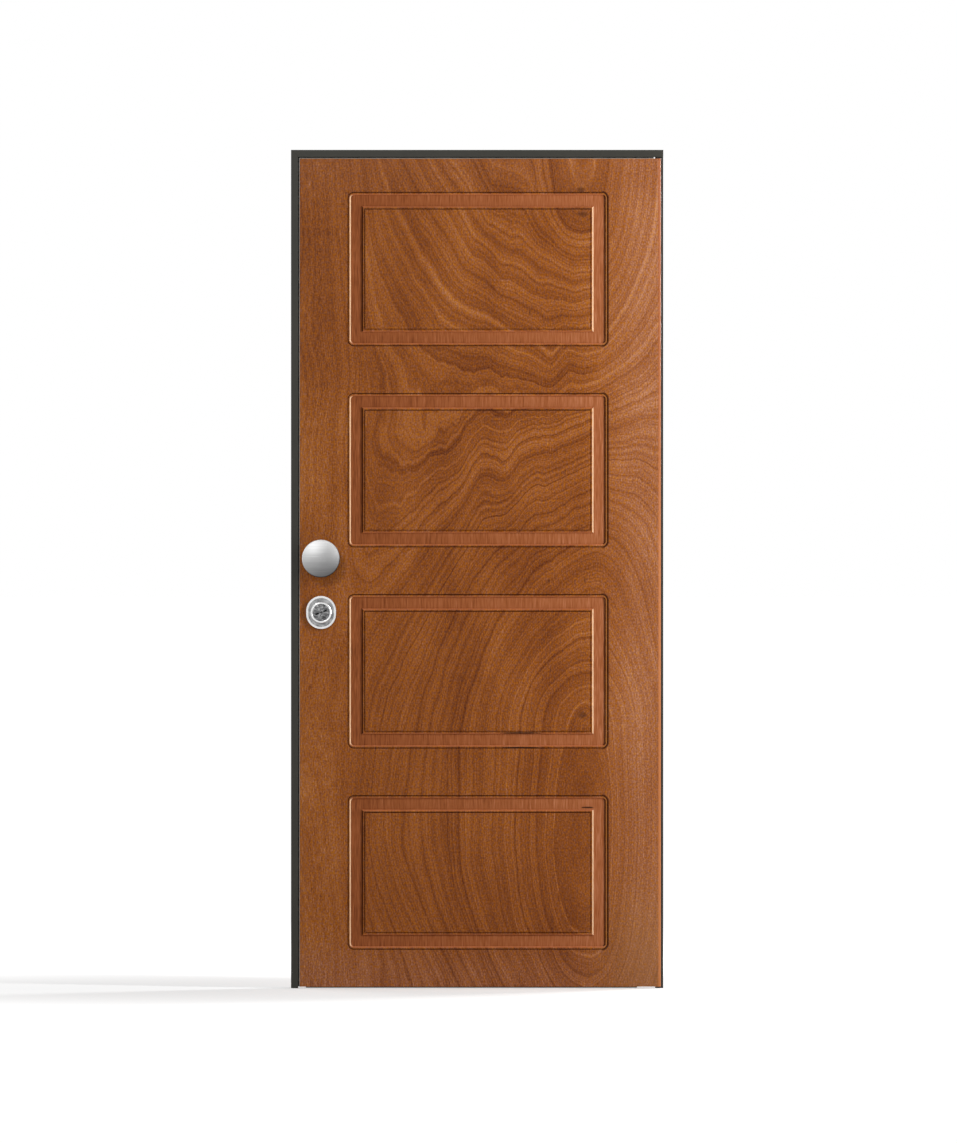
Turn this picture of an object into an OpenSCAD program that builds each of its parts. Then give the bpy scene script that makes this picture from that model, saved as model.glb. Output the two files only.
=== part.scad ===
// Panelled security front door in its three-sided steel frame.
// X runs to the right as seen from outside, Y runs into the building, Z is up.
// The floor is at Z = 0. The door is shut and unlocked; it opens inwards, with its hinges on the right.

/* [Frame] */
// Overall width of the frame
frame_w = 940; // [820:1:1100]
// Overall height of the frame
frame_h = 2117; // [2000:1:2400]
// Thickness of the folded frame sheet
frame_t = 2; // [1.5:0.1:2.5]
// Width of the front lip on the lock jamb and the head
lip_w = 18; // [17:0.5:26]
// How far the lip covers the shoulder of the leaf
lip_cover = 7; // [5:0.5:8]
// Gap between the edge of the leaf and the frame
leaf_gap = 4; // [3.5:0.1:5]
// Width of the hinge jamb
hinge_jamb_w = 20; // [19:0.5:28]
// Width of the hinge jamb that shows beside the panel
hinge_reveal = 5.8; // [4:0.1:9]
// Length of the folded returns at the back of the frame profiles
return_l = 9; // [6:0.5:14]
// Diameter of the fixing holes in the jambs
fixing_d = 10.5; // [8:0.1:12]
// Height of the lowest fixing hole
fixing_z = 180; // [120:1:220]
// Thickness of the strike plates
strike_t = 3; // [2:0.1:4]

/* [Leaf] */
// Gap under the leaf
floor_gap = 4; // [3:0.5:10]
// How far the face of the outer panel lies behind the face of the lip
panel_setback = 3; // [1:0.5:6]
// Gap between the lip and the edge trim of the leaf
trim_gap = 2.4; // [2:0.1:3.5]
// Thickness of the folded edge trims
trim_t = 1.5; // [1:0.1:2]
// Width of the edge trim's lip on the inside face
trim_lip = 26; // [20:1:34]
// Width of the hinge trim's lip on the inside face
hinge_lip = 42; // [38:1:60]
// Thickness of the steel skin behind the outer panel
skin_t = 1.5; // [1:0.1:2]
// Thickness of the space between the skin and the inner panel
core_t = 40; // [38:1:60]
// Thickness of the inner panel
inner_panel_t = 7; // [5:0.5:12]
// Gap that the compressed frame seal fills
seal_t = 4.3; // [3:0.1:6]
// Width of each stiffener's crown
stiffener_w = 50; // [40:1:70]
// Number of stiffeners
stiffener_n = 3; // [2:1:3]
// Thickness of the stiffener sheet
stiffener_t = 1.2; // [1:0.1:2]

/* [Outer panel] */
// Thickness of the outer panel
panel_t = 16; // [14:0.5:20]
// Number of raised fields
field_n = 4; // [1:1:5]
// Plain margin on the lock side
margin_lock = 121; // [105:0.5:150]
// Plain margin on the hinge side
margin_hinge = 134; // [60:0.5:180]
// Plain margin at the top
margin_top = 84; // [50:0.5:150]
// Plain margin at the bottom
margin_bottom = 93.5; // [50:0.5:150]
// Plain rail between two fields
rail_h = 118; // [60:0.5:160]
// Width of the routed channel around a field
channel_w = 44.5; // [30:0.5:55]
// Depth of the routed channel
channel_d = 6; // [5:0.1:9]
// Width of the narrow groove between a plain face and the bead beside a channel
quirk_w = 2.4; // [1.2:0.1:3]
// Depth of that groove
quirk_d = 2.6; // [1.5:0.1:4]
// How far the crown of the bead lies below the face
bead_drop = 0.6; // [0.4:0.1:1.5]
// Width of the flat crown of the bead
bead_land = 0.8; // [0.5:0.1:2]
// Corner radius that the router leaves outside the channel
corner_r = 16; // [15:0.5:30]
// Radius of the rounded edge on the hinge side
panel_edge_r = 6; // [3:0.5:12]

/* [Lock] */
// Distance from the lock edge of the leaf to the cylinder and the knob
backset = 65; // [62:0.5:75]
// Height of the cylinder
cylinder_z = 949; // [900:1:1000]
// How much higher than the cylinder the knob and the lever handle are
handle_rise = 136; // [130:1:170]
// Diameter of the lock bolts
bolt_d = 18; // [14:0.5:19]
// Spacing of the lock bolts
bolt_pitch = 38; // [30:0.5:40]
// Travel of the lock bolts
bolt_travel = 28; // [15:1:28]
// Number of bolts in the main lock
bolt_n = 4; // [2:1:4]
// Distance from the top of the leaf to the middle of the upper bolt case
upper_case_drop = 511; // [400:1:600]
// Height of the middle of the lower bolt case
lower_case_z = 480; // [350:1:650]
// Travel of the connecting rods
rod_travel = 20; // [10:1:24]
// Diameter of the top shoot bolt
shoot_bolt_d = 16; // [10:0.5:18]
// How far the latch stands out of the leaf
latch_out = 10.5; // [8:0.1:10.9]
// Diameter of the fixed dog bolts on the hinge edge
dog_d = 12; // [8:0.5:14]
// Distance from the end dog bolts to the foot and the top of the leaf
dog_end = 110; // [80:1:140]
// How far the dog bolts stand out of the leaf
dog_out = 17; // [12:0.5:17]

/* [Hinges] */
// Radius of the hinge barrel
barrel_r = 11; // [9:0.1:12]
// Radius of the hinge pin
pin_r = 6; // [4:0.1:7]
// Height of each hinge barrel half
barrel_h = 55; // [40:1:80]
// Height of the foot of the lower hinge
lower_hinge_z = 250; // [215:1:400]
// Distance from the top of the leaf to the foot of the upper hinge
upper_hinge_drop = 356; // [300:1:500]

/* [Knob] */
// Diameter of the knob
knob_d = 95.5; // [70:0.5:105]
// How far the knob stands out from the panel
knob_out = 62; // [50:0.5:80]
// Thickness of the knob's head at its rim
knob_rim = 8; // [6:0.5:20]
// Radius of the knob's neck
knob_neck_r = 16; // [12:0.5:22]
// Radius of the knob's rose
knob_rose_r = 30; // [24:0.5:36]
// Thickness of the knob's rose
knob_rose_t = 8; // [5:0.5:12]

/* [Escutcheon] */
// Height of the escutcheon
plate_h = 83; // [80:0.5:100]
// Width of the escutcheon, which is the diameter of its round ends
plate_w = 75; // [70:0.5:79]
// Thickness of the escutcheon plate
plate_t = 9; // [7:0.5:12]
// Width of the bright rim around the plate
plate_rim = 5; // [3:0.1:7]
// Outer radius of the collar
collar_r = 27; // [25:0.1:29]
// How far the collar stands out from the plate
collar_t = 8; // [6:0.5:10]
// Radius of the turning guard disc
disc_r = 21.4; // [18:0.1:22]
// Width of the key slot
slot_w = 4; // [2.5:0.1:5]
// Radius of the boss in the middle of the key slot
slot_boss_r = 6; // [4:0.1:8]
// Tilt of the key slot from the horizontal
slot_tilt = 20; // [0:1:45]

/* [Handle] */
// Length of the lever from its axis to its tip
lever_l = 122; // [90:1:140]
// Height of the lever's grip
lever_h = 19; // [14:0.5:24]
// Thickness of the lever's grip
lever_t = 13; // [9:0.5:18]
// Clear space between the lever's grip and the rose
lever_clear = 36; // [30:1:50]
// Radius of the handle's rose
rose_r = 26; // [22:0.5:30]
// Thickness of the handle's rose
rose_t = 8; // [5:0.5:12]

/* [Hidden] */
$fn = 64;
slack = 0.3; // clearance between pieces that move past each other
snug = 0.05; // clearance of pins and screws in their holes
eps = 1; // how far cutters run past a face

// Planes across the depth of the door
leaf_depth = panel_setback + panel_t + skin_t + core_t + inner_panel_t + trim_t;
knob_reach = knob_out - panel_setback; // from the face of the lip outwards
lever_reach = rose_t + lever_clear + lever_t; // from the face of the inner panel inwards
y_front = (knob_reach - (leaf_depth - trim_t + lever_reach)) / 2; // centres the part on Y = 0
y_face = y_front + panel_setback;
y_panel_back = y_face + panel_t;
y_skin_back = y_panel_back + skin_t;
y_core_back = y_skin_back + core_t;
y_inner_face = y_core_back + inner_panel_t;
y_leaf_back = y_inner_face + trim_t;
y_frame_back = y_leaf_back + 1;
lip_d = panel_setback + panel_t + 2; // depth of the lip
y_shoulder = y_front + lip_d + seal_t; // front of the leaf's shoulder
y_hinge_jamb = y_front + lip_d + frame_t; // front of the hinge jamb

// Planes across the width and the height
x_lip = -frame_w / 2 + lip_w;
x_leaf = x_lip - lip_cover; // lock edge of the leaf
x_panel = x_lip + trim_gap + trim_t; // lock edge of the outer panel
x_panel_end = frame_w / 2 - hinge_reveal; // hinge edge of the outer panel
x_jamb = frame_w / 2 - hinge_jamb_w; // inner face of the hinge jamb
x_leaf_end = x_jamb - leaf_gap; // hinge edge of the leaf behind the panel
web_u = lip_w - lip_cover - leaf_gap; // inner face of the web, from the frame's outer edge
x_web = -frame_w / 2 + web_u;
z_leaf_top = frame_h - lip_w + lip_cover;
handle_z = cylinder_z + handle_rise;
upper_case_z = z_leaf_top - upper_case_drop;
upper_hinge_z = z_leaf_top - upper_hinge_drop;
z_panel_top = frame_h - lip_w - trim_gap - trim_t;
z_panel_low = floor_gap;
x_lock = x_leaf + backset; // axis of the cylinder, the knob and the handle
shoulder_w = lip_cover + trim_gap; // width of the shoulder in front of the leaf's edge

// Raised fields of the outer panel
field_x = [x_panel + margin_lock, x_panel_end - margin_hinge];
field_room = z_panel_top - margin_top - z_panel_low - margin_bottom;
field_h = (field_room - (field_n - 1) * rail_h) / field_n;
bead_u = quirk_w + bead_land; // from the plain face to where the bead rounds over
bead_r = channel_d - bead_drop; // radius of the bead, which falls to the floor of the channel

// Lock case and the room inside it
case_wall = 2;
forend_t = 3;
forend_over = 15; // how far the forend runs past the case
case_y = [y_shoulder + trim_t + 0.5, y_core_back - 4.2];
rod_t = 3.5;
rod_w = 20;
rod_y = [case_y[0] + case_wall + 0.4, case_y[0] + case_wall + 0.4 + rod_t];
bolt_y = rod_y[1] + 0.8 + bolt_d / 2;
x_forend = x_leaf + trim_t;
x_case = x_forend + forend_t;
case_tail = 25; // how far the main case runs behind the cylinder
case_foot = 85; // how far it runs below the cylinder
case_top = 40; // how far it runs above the handle
first_bolt = 49; // from the cylinder down to the lowest main bolt
case_l = backset + case_tail; // length of the main case behind its forend
case_z = [cylinder_z - case_foot, handle_z + case_top];
bolt_zs = [for (i = [0 : bolt_n - 1]) cylinder_z - first_bolt + i * bolt_pitch];
yoke_t = 6; // thickness of the yoke behind the bolts
cam_r = 13;
x_yoke = x_lock - cam_r - 5 - yoke_t; // front of the yoke when the bolts are drawn back
rod_x = x_yoke - 7; // middle of the connecting rods
small_case_h = 110; // height of the upper and lower bolt cases
small_case_l = x_lock - x_case - 3;
latch_h = 24;
latch_w = 14;
hole_over = 1.6; // how much wider than a bolt its holes in the trim and the web are

// Heights of what repeats along the jambs
fixing_zs = [for (i = [0 : 3]) fixing_z + i * (frame_h - 2 * fixing_z) / 3];
dog_zs = [for (i = [0 : 3]) dog_end + i * (z_leaf_top - 2 * dog_end) / 3];
case_ends = small_case_h / 2 + forend_over; // half the height of a small case with its forend
guide_zs = [
    (lower_case_z + case_ends + case_z[0] - forend_over) / 2,
    (case_z[1] + forend_over + upper_case_z - case_ends) / 2,
    upper_case_z + case_ends + (upper_case_drop - case_ends) / 3,
    upper_case_z + case_ends + (upper_case_drop - case_ends) * 2 / 3
];
hinge_zs = [lower_hinge_z, upper_hinge_z];

// Hinges
washer_h = 2;
hinge_x = x_jamb - 3;
hinge_y = y_frame_back + 0.5 + barrel_r;
hinge_plate_t = 4;
hinge_plate_h = 2 * barrel_h + washer_h;
screw_r = 2.5;
cap_h = 6;

// Cylinder
euro_r = 8.5;
euro_h = 33;
euro_w = 10;
plug_r = 6.5;
cam_t = 9.6;
cam_y = (case_y[0] + case_y[1]) / 2; // middle of the cam
y_plate = y_face - plate_t; // face of the escutcheon plate
y_collar = y_plate - collar_t; // face of the collar
disc_t = 3.3;
disc_y = [y_collar + 1.2, y_collar + 1.2 + disc_t];
core_r = disc_r + slack; // hardened core inside the escutcheon
plate_dish = 1.6; // depth of the dished face inside the escutcheon's rim
y_cylinder = y_plate + plate_dish + 2; // outer end of the cylinder's body
y_cylinder_end = y_inner_face + 3; // inner end of the cylinder's body
plate_screw_z = plate_h / 2 - 9.5; // escutcheon screws, above and below the cylinder

// Shared shapes

// Two values on either side of a middle
function about(middle, half) = [middle - half, middle + half];

// Block between two values on each axis
module block(x, y, z) {
    translate([x[0], y[0], z[0]])
        cube([x[1] - x[0], y[1] - y[0], z[1] - z[0]]);
}

// Round bar along X
module bar_x(x, y, z, r) {
    translate([x[0], y, z])
        rotate([0, 90, 0])
            cylinder(r = r, h = x[1] - x[0]);
}

// Round bar along Y
module bar_y(x, y, z, r) {
    translate([x, y[0], z])
        rotate([-90, 0, 0])
            cylinder(r = r, h = y[1] - y[0]);
}

// Round bar along Z
module bar_z(x, y, z, r) {
    translate([x, y, z[0]])
        cylinder(r = r, h = z[1] - z[0]);
}

// Flat shape drawn in X and Z, made solid along Y
module plate_y(x, y, z) {
    translate([x, y[1], z])
        rotate([90, 0, 0])
            linear_extrude(y[1] - y[0])
                children();
}

// Shape turned about an axis along Y; its outline is radius against distance outwards
module turned(x, y, z) {
    translate([x, y, z])
        rotate([90, 0, 0])
            rotate_extrude()
                children();
}

// Points of an arc, in degrees
function arc(centre, r, from, to, n = 12) = [
    for (i = [0 : n])
        let (a = from + (to - from) * i / n)
            centre + r * [cos(a), sin(a)]
];

// Rectangle between two values on each axis
module rect(u, v) {
    translate([u[0], v[0]])
        square([u[1] - u[0], v[1] - v[0]]);
}

// Rectangle of a given size about the origin with round corners
module round_rect(w, h, r) {
    union() {
        square([w - 2 * r, h], center = true);
        square([w, h - 2 * r], center = true);
        for (i = [-1, 1], j = [-1, 1])
            translate([i * (w / 2 - r), j * (h / 2 - r)])
                circle(r);
    }
}

// Section of a lock cylinder: a round head on a narrow stem, grown by a clearance
module euro_section(clear = 0) {
    circle(euro_r + clear);
    translate([-euro_w / 2 - clear, euro_r - euro_h - clear])
        square([euro_w + 2 * clear, euro_h - euro_r]);
}

// Opening that the lock cylinder passes through
module euro_hole(y, clear) {
    plate_y(x_lock, [y[0] - eps, y[1] + eps], cylinder_z)
        euro_section(clear);
}

// Pocket for the outer end of the lock cylinder, open at the back
module euro_pocket(y_back) {
    plate_y(x_lock, [y_cylinder - 0.2, y_back + eps], cylinder_z)
        euro_section(0.2);
}

// Openings for the bolts of one case and its latch, cut along X
module bolt_holes(x, zs, r) {
    for (z = zs)
        bar_x(x, bolt_y, z, r);
}
module latch_hole(x, clear) {
    block(x, about(bolt_y, latch_w / 2 + clear), about(handle_z, latch_h / 2 + clear));
}

// Bolt heights of a small case
function small_bolt_zs(z) = [z - bolt_pitch / 2, z + bolt_pitch / 2];

// Frame

// Section of the lock jamb and the head: distance from the outer edge against depth
module frame_section() {
    depth = y_frame_back - y_front;
    rect([0, lip_w], [0, frame_t]);
    rect([0, frame_t], [0, return_l]);
    rect([lip_w - frame_t, lip_w], [0, lip_d]);
    rect([web_u - frame_t, lip_w], [lip_d - frame_t, lip_d]);
    rect([web_u - frame_t, web_u], [lip_d - frame_t, depth]);
    rect([0, web_u], [depth - frame_t, depth]);
    rect([0, frame_t], [depth - return_l, depth]);
}

// Triangle on one side of the mitre between the lock jamb and the head, or between two trims
module mitre_side(x, z, above) {
    reach = 2 * trim_lip;
    third = above ? [x + reach, z + eps] : [x - eps, z - reach];
    plate_y(0, [y_front - eps, y_frame_back + eps], 0)
        polygon([[x - eps, z + eps], [x + reach, z - reach], third]);
}

module fixing_holes(x, y) {
    for (z = fixing_zs)
        bar_x(x, y, z, fixing_d / 2);
}

module lock_jamb() {
    web = [x_web - frame_t - eps, x_web + eps];
    color("#3b3d37")
        difference() {
            translate([-frame_w / 2, y_front, 0])
                linear_extrude(frame_h)
                    frame_section();
            mitre_side(-frame_w / 2, frame_h, true);
            bolt_holes(web, all_bolt_zs(), bolt_d / 2 + hole_over);
            latch_hole(web, hole_over);
            strike_screw_holes(web);
            fixing_holes(web, bolt_y + 15);
        }
}

module frame_head() {
    top = [frame_h - lip_w, frame_h];
    end = [frame_w / 2 - frame_t, frame_w / 2];
    color("#3f413b")
        difference() {
            union() {
                translate([-frame_w / 2, y_front, frame_h])
                    rotate([0, 90, 0])
                        linear_extrude(frame_w)
                            frame_section();
                block(end, [y_front, y_front + lip_d], top);
                block(end, [y_front, y_frame_back], [frame_h - web_u, frame_h]);
            }
            mitre_side(-frame_w / 2, frame_h, false);
            bar_z(rod_x, bolt_y, [frame_h - lip_w, frame_h - web_u + frame_t + eps],
                  shoot_bolt_d / 2 + hole_over);
        }
}

module hinge_jamb() {
    wall = [x_jamb - eps, x_jamb + frame_t + eps];
    z = [0, frame_h - web_u];
    edge = [frame_w / 2 - frame_t, frame_w / 2];
    color("#3b3d37")
        difference() {
            union() {
                block([x_jamb, frame_w / 2], [y_hinge_jamb, y_hinge_jamb + frame_t], z);
                block([x_jamb, x_jamb + frame_t], [y_hinge_jamb, y_frame_back], z);
                block([x_jamb, frame_w / 2], [y_frame_back - frame_t, y_frame_back], z);
                block(edge, [y_hinge_jamb, y_hinge_jamb + return_l], z);
                block(edge, [y_frame_back - return_l, y_frame_back], z);
            }
            for (dog_z = dog_zs)
                block(wall, [bolt_y - dog_d / 2 - 5.5, bolt_y + dog_d / 2 + 2],
                      about(dog_z, dog_d / 2 + hole_over));
            for (hinge_z = hinge_zs)
                bracket_screw_holes(hinge_z);
            fixing_holes(wall, bolt_y + 15);
        }
}

// Strike plates behind the web of the lock jamb
function all_bolt_zs() = concat(bolt_zs, small_bolt_zs(upper_case_z), small_bolt_zs(lower_case_z));
strike_over = 8; // how far a strike plate runs past its case
strike_main = [case_z[0] - strike_over, case_z[1] + strike_over];
strike_upper = about(upper_case_z, small_case_h / 2 + strike_over);
strike_lower = about(lower_case_z, small_case_h / 2 + strike_over);
strike_ends = concat(strike_main, strike_upper, strike_lower);
strike_screw_zs = [for (i = [0 : len(strike_ends) - 1]) strike_ends[i] + (i % 2 == 0 ? 11 : -11)];
strike_x = [x_web - frame_t - strike_t, x_web - frame_t];

module strike_screw_holes(x) {
    for (z = strike_screw_zs)
        bar_x(x, bolt_y, z, screw_r + snug);
}

module strike_plate(z, zs) {
    cut = [strike_x[0] - eps, strike_x[1] + eps];
    color("silver")
        difference() {
            block(strike_x, about(bolt_y, 14), z);
            bolt_holes(cut, zs, bolt_d / 2 + hole_over / 2);
            strike_screw_holes(cut);
            latch_hole(cut, hole_over / 2);
        }
}

module main_strike_plate() { strike_plate(strike_main, bolt_zs); }
module upper_strike_plate() { strike_plate(strike_upper, small_bolt_zs(upper_case_z)); }
module lower_strike_plate() { strike_plate(strike_lower, small_bolt_zs(lower_case_z)); }

module strike_screws() {
    head_t = 1.2;
    color("silver")
        for (z = strike_screw_zs) {
            bar_x([strike_x[0], x_web], bolt_y, z, screw_r);
            bar_x([x_web, x_web + head_t], bolt_y, z, 2 * screw_r);
        }
}

// Seals
seal_rim = 0.3; // the seals stop short of the leaf

module lip_seal_section() {
    rect([web_u + 0.5, lip_w - 0.5], [lip_d, lip_d + 1.5]);
    rect([web_u + 3.5, lip_w - 2.5], [lip_d + 1.5, lip_d + seal_t - seal_rim]);
}

module lock_jamb_seal() {
    color("#1c1c1c")
        translate([-frame_w / 2, y_front, 0])
            linear_extrude(frame_h - lip_w)
                lip_seal_section();
}

module head_seal() {
    color("#1c1c1c")
        translate([x_lip, y_front, frame_h])
            rotate([0, 90, 0])
                linear_extrude(x_jamb - x_lip)
                    lip_seal_section();
}

module hinge_jamb_seal() {
    middle = (x_jamb + x_panel_end) / 2;
    color("#1c1c1c")
        block(about(middle, 4), [y_panel_back + seal_rim, y_hinge_jamb], [0, frame_h - lip_w]);
}

// Hinges

module bracket_screw_holes(hinge_z) {
    for (z = bracket_screw_zs(hinge_z))
        bar_y(bracket_screw_x, [y_frame_back - frame_t - eps, y_frame_back + eps], z, screw_r + snug);
}
function bracket_screw_zs(hinge_z) = [for (f = [0.2, 0.8]) hinge_z + f * barrel_h];
bracket_screw_x = frame_w / 2 - 6;

module hinge_bracket(hinge_z) {
    z = [hinge_z, hinge_z + barrel_h];
    color("#4a4a48")
        difference() {
            union() {
                bar_z(hinge_x, hinge_y, z, barrel_r);
                block([x_jamb + 1, frame_w / 2], [y_frame_back, y_frame_back + hinge_plate_t], z);
                block([hinge_x, x_jamb + 1 + hinge_plate_t], [y_frame_back, hinge_y], z);
            }
            bar_z(hinge_x, hinge_y, [z[0] - eps, z[1] + eps], pin_r + snug);
            for (screw_z = bracket_screw_zs(hinge_z))
                bar_y(bracket_screw_x, [y_frame_back - eps, y_frame_back + hinge_plate_t + eps],
                      screw_z, screw_r + snug);
        }
}
module upper_hinge_bracket() { hinge_bracket(upper_hinge_z); }
module lower_hinge_bracket() { hinge_bracket(lower_hinge_z); }

module hinge_pin(hinge_z) {
    color("silver")
        bar_z(hinge_x, hinge_y, [hinge_z, hinge_z + hinge_plate_h - 3], pin_r);
}
module upper_hinge_pin() { hinge_pin(upper_hinge_z); }
module lower_hinge_pin() { hinge_pin(lower_hinge_z); }

module hinge_washers() {
    color("#b08d4a")
        for (hinge_z = hinge_zs)
            difference() {
                z = [hinge_z + barrel_h, hinge_z + barrel_h + washer_h - 0.1];
                bar_z(hinge_x, hinge_y, z, barrel_r - 1);
                bar_z(hinge_x, hinge_y, [z[0] - eps, z[1] + eps], pin_r + snug);
            }
}

module bracket_screws() {
    color("silver")
        for (hinge_z = hinge_zs, z = bracket_screw_zs(hinge_z)) {
            y = y_frame_back + hinge_plate_t;
            bar_y(bracket_screw_x, [y_frame_back - 8, y], z, screw_r);
            bar_y(bracket_screw_x, [y, y + 2.5], z, 1.8 * screw_r);
        }
}

// Leaf half of a hinge: the upper barrel and a plate on the hinge trim's lip
leaf_plate_x = [x_leaf_end - hinge_lip + 4, hinge_x];
leaf_screw_x = leaf_plate_x[0] + 10;
function leaf_screw_zs(hinge_z) = [for (f = [0.12, 0.5, 0.88]) hinge_z + f * hinge_plate_h];

module leaf_screw_holes(y) {
    for (hinge_z = hinge_zs, z = leaf_screw_zs(hinge_z))
        bar_y(leaf_screw_x, y, z, screw_r + snug);
}

module hinge_leaf(hinge_z) {
    z = [hinge_z + barrel_h + washer_h, hinge_z + hinge_plate_h];
    plate_y_range = [y_leaf_back, y_leaf_back + hinge_plate_t];
    color("#4a4a48")
        difference() {
            union() {
                bar_z(hinge_x, hinge_y, z, barrel_r);
                block([hinge_x - barrel_r, hinge_x], [y_leaf_back, hinge_y], z);
                block([leaf_plate_x[0], hinge_x - barrel_r - slack], plate_y_range,
                      [hinge_z, hinge_z + hinge_plate_h]);
                block([leaf_plate_x[0], hinge_x], plate_y_range, z);
            }
            bar_z(hinge_x, hinge_y, [z[0] - eps, z[1] + eps], pin_r + snug);
            leaf_screw_holes([y_leaf_back - eps, y_leaf_back + hinge_plate_t + eps]);
        }
}
module upper_hinge_leaf() { hinge_leaf(upper_hinge_z); }
module lower_hinge_leaf() { hinge_leaf(lower_hinge_z); }

module hinge_leaf_screws() {
    y = y_leaf_back + hinge_plate_t;
    color("silver")
        for (hinge_z = hinge_zs, z = leaf_screw_zs(hinge_z)) {
            bar_y(leaf_screw_x, [y_core_back - 5, y], z, screw_r);
            bar_y(leaf_screw_x, [y, y + 2.5], z, 1.8 * screw_r);
        }
}

module hinge_caps() {
    color("#3b3d37")
        for (hinge_z = hinge_zs)
            translate([hinge_x, hinge_y, hinge_z + hinge_plate_h])
                rotate_extrude()
                    polygon([
                        [0, 0], [barrel_r, 0], [barrel_r, cap_h - 2],
                        [barrel_r - 2, cap_h], [0, cap_h]
                    ]);
}

// Panels of the leaf

// Section across a raised field of a given size: its flat top and the bead on either side, against depth
module field_section(size) {
    rect(about(0, size / 2 + bead_u), [bead_drop, channel_d + eps]);
    for (side = [-1, 1])
        translate([side * (size / 2 + bead_u), channel_d])
            circle(bead_r);
}

// Raised field with the beads around it, mitred at the corners
module field_beads(w, h) {
    reach = 2 * (bead_u + bead_r + 1);
    intersection() {
        linear_extrude(h + reach, center = true)
            field_section(w);
        rotate([0, -90, 0])
            linear_extrude(w + reach, center = true)
                field_section(h);
    }
}

// Bead inside the plain margin, which follows the round corners of the channel
module margin_beads(w, h) {
    run = [w / 2 - corner_r, h / 2 - corner_r];
    depth = [bead_drop, channel_d + eps];
    for (side = [-1, 1]) {
        bar_x(about(0, run[0]), channel_d, side * (h / 2 - bead_u), bead_r);
        block(about(0, run[0]), depth, about(side * (h / 2 - (bead_u - eps) / 2), (bead_u + eps) / 2));
        bar_z(side * (w / 2 - bead_u), channel_d, about(0, run[1]), bead_r);
        block(about(side * (w / 2 - (bead_u - eps) / 2), (bead_u + eps) / 2), depth, about(0, run[1]));
    }
    for (i = [0 : 3]) {
        sides = [[1, 1], [-1, 1], [-1, -1], [1, -1]][i];
        translate([sides[0] * run[0], 0, sides[1] * run[1]])
            rotate([90, 0, 0])
                rotate([0, 0, 90 * i])
                    rotate_extrude(angle = 90) {
                        translate([corner_r - bead_u, -channel_d])
                            circle(bead_r);
                        rect([corner_r - bead_u, corner_r + eps], [-depth[1], -depth[0]]);
                    }
    }
}

// Routed channel around one raised field, cut into a face at Y = 0; w and h are its outer size
module routed_channel(w, h) {
    inner = [w, h] - 2 * channel_w * [1, 1];
    difference() {
        plate_y(0, [-eps, channel_d], 0)
            difference() {
                round_rect(w, h, corner_r);
                square(inner, center = true);
            }
        field_beads(inner[0], inner[1]);
        margin_beads(w, h);
    }
    plate_y(0, [-eps, quirk_d], 0) {
        difference() {
            round_rect(w, h, corner_r);
            round_rect(w - 2 * quirk_w, h - 2 * quirk_w, corner_r - quirk_w);
        }
        difference() {
            square(inner + 2 * quirk_w * [1, 1], center = true);
            square(inner, center = true);
        }
    }
}

module outer_panel() {
    through = [y_face - eps, y_panel_back + eps];
    edge_x = x_panel_end - panel_edge_r;
    color("#955328")
        difference() {
            block([x_panel, x_panel_end], [y_face, y_panel_back], [z_panel_low, z_panel_top]);
            for (i = [0 : field_n - 1])
                translate([(field_x[0] + field_x[1]) / 2, y_face,
                           z_panel_low + margin_bottom + field_h / 2 + i * (field_h + rail_h)])
                    routed_channel(field_x[1] - field_x[0], field_h);
            difference() {
                block([edge_x, x_panel_end + eps], [y_face - eps, y_face + panel_edge_r],
                      [z_panel_low - eps, z_panel_top + eps]);
                bar_z(edge_x, y_face + panel_edge_r, [z_panel_low - 2 * eps, z_panel_top + 2 * eps],
                      panel_edge_r);
            }
            bar_y(x_lock, through, handle_z, knob_stud_r + 0.5);
            bar_y(x_lock, through, cylinder_z, core_r + 0.5);
            euro_hole([y_face, y_panel_back], 0.5);
            plate_screw_holes(through);
        }
}

module steel_skin() {
    through = [y_panel_back - eps, y_skin_back + eps];
    color("#8b8f92")
        difference() {
            block([x_panel, x_leaf_end], [y_panel_back, y_skin_back], [z_panel_low, z_panel_top]);
            bar_y(x_lock, through, handle_z, knob_stud_r + 0.5);
            euro_hole([y_panel_back, y_skin_back], 0.5);
            plate_screw_holes(through);
        }
}

// Room for the stiffeners and the insulation, clear of the lock and the edge trims
fill_x = [x_lock + 45, x_leaf_end - hinge_lip - 4];
fill_z = [floor_gap + trim_lip, z_leaf_top - trim_lip];
foot_w = 18;
stiffener_pitch = (fill_x[1] - fill_x[0]) / stiffener_n;
stiffener_xs = [for (i = [0 : stiffener_n - 1]) fill_x[0] + (i + 0.5) * stiffener_pitch];

module stiffeners() {
    t = stiffener_t;
    half = stiffener_w / 2;
    color("#9a9ea1")
        for (x = stiffener_xs)
            translate([x, 0, fill_z[0]])
                linear_extrude(fill_z[1] - fill_z[0]) {
                    rect([-half, half], [y_core_back - t, y_core_back]);
                    for (side = [0, 1])
                        mirror([side, 0]) {
                            rect([half - t, half], [y_skin_back, y_core_back]);
                            rect([half - t, half + foot_w], [y_skin_back, y_skin_back + t]);
                        }
                }
}

module insulation() {
    half = stiffener_w / 2 + foot_w;
    starts = concat([fill_x[0]], [for (x = stiffener_xs) x + half]);
    ends = concat([for (x = stiffener_xs) x - half], [fill_x[1]]);
    color("#c9b458")
        for (i = [0 : stiffener_n])
            block([starts[i], ends[i]], [y_skin_back, y_core_back], fill_z);
}

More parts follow.
